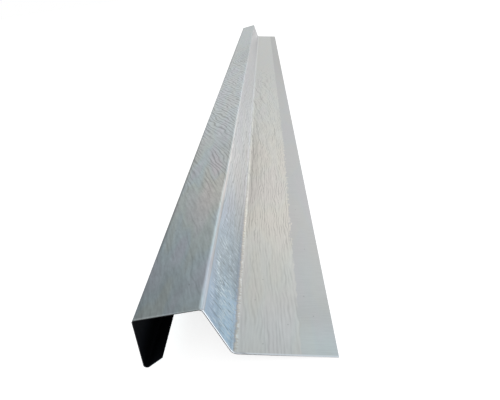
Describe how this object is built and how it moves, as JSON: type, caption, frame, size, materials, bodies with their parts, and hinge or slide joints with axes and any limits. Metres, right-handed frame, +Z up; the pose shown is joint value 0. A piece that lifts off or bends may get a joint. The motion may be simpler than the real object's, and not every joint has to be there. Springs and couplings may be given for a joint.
{
  "type": "eaves flashing",
  "caption": "Long strip of galvanised sheet steel folded into an eaves flashing: turned-in lip, front flange, rising top plate, stepped web and flat roof flange.",
  "frame": {"origin": "on the floor, under the middle of the strip's box", "axes": "+Y along the strip's length, +X from the front flange towards the roof flange, +Z up, with the strip lying as a loose length does on the fold of its lip and the free edge of its roof flange"},
  "size_m": [0.182, 2, 0.0748],
  "materials": {
    "galvanised_sheet": "galvanised and satin, streaked by a wrinkled clear film, with a dark back coat on the underside"
  },
  "bodies": {
    "root": {"flashing_sheet": "galvanised_sheet"}
  },
  "joints": []
}
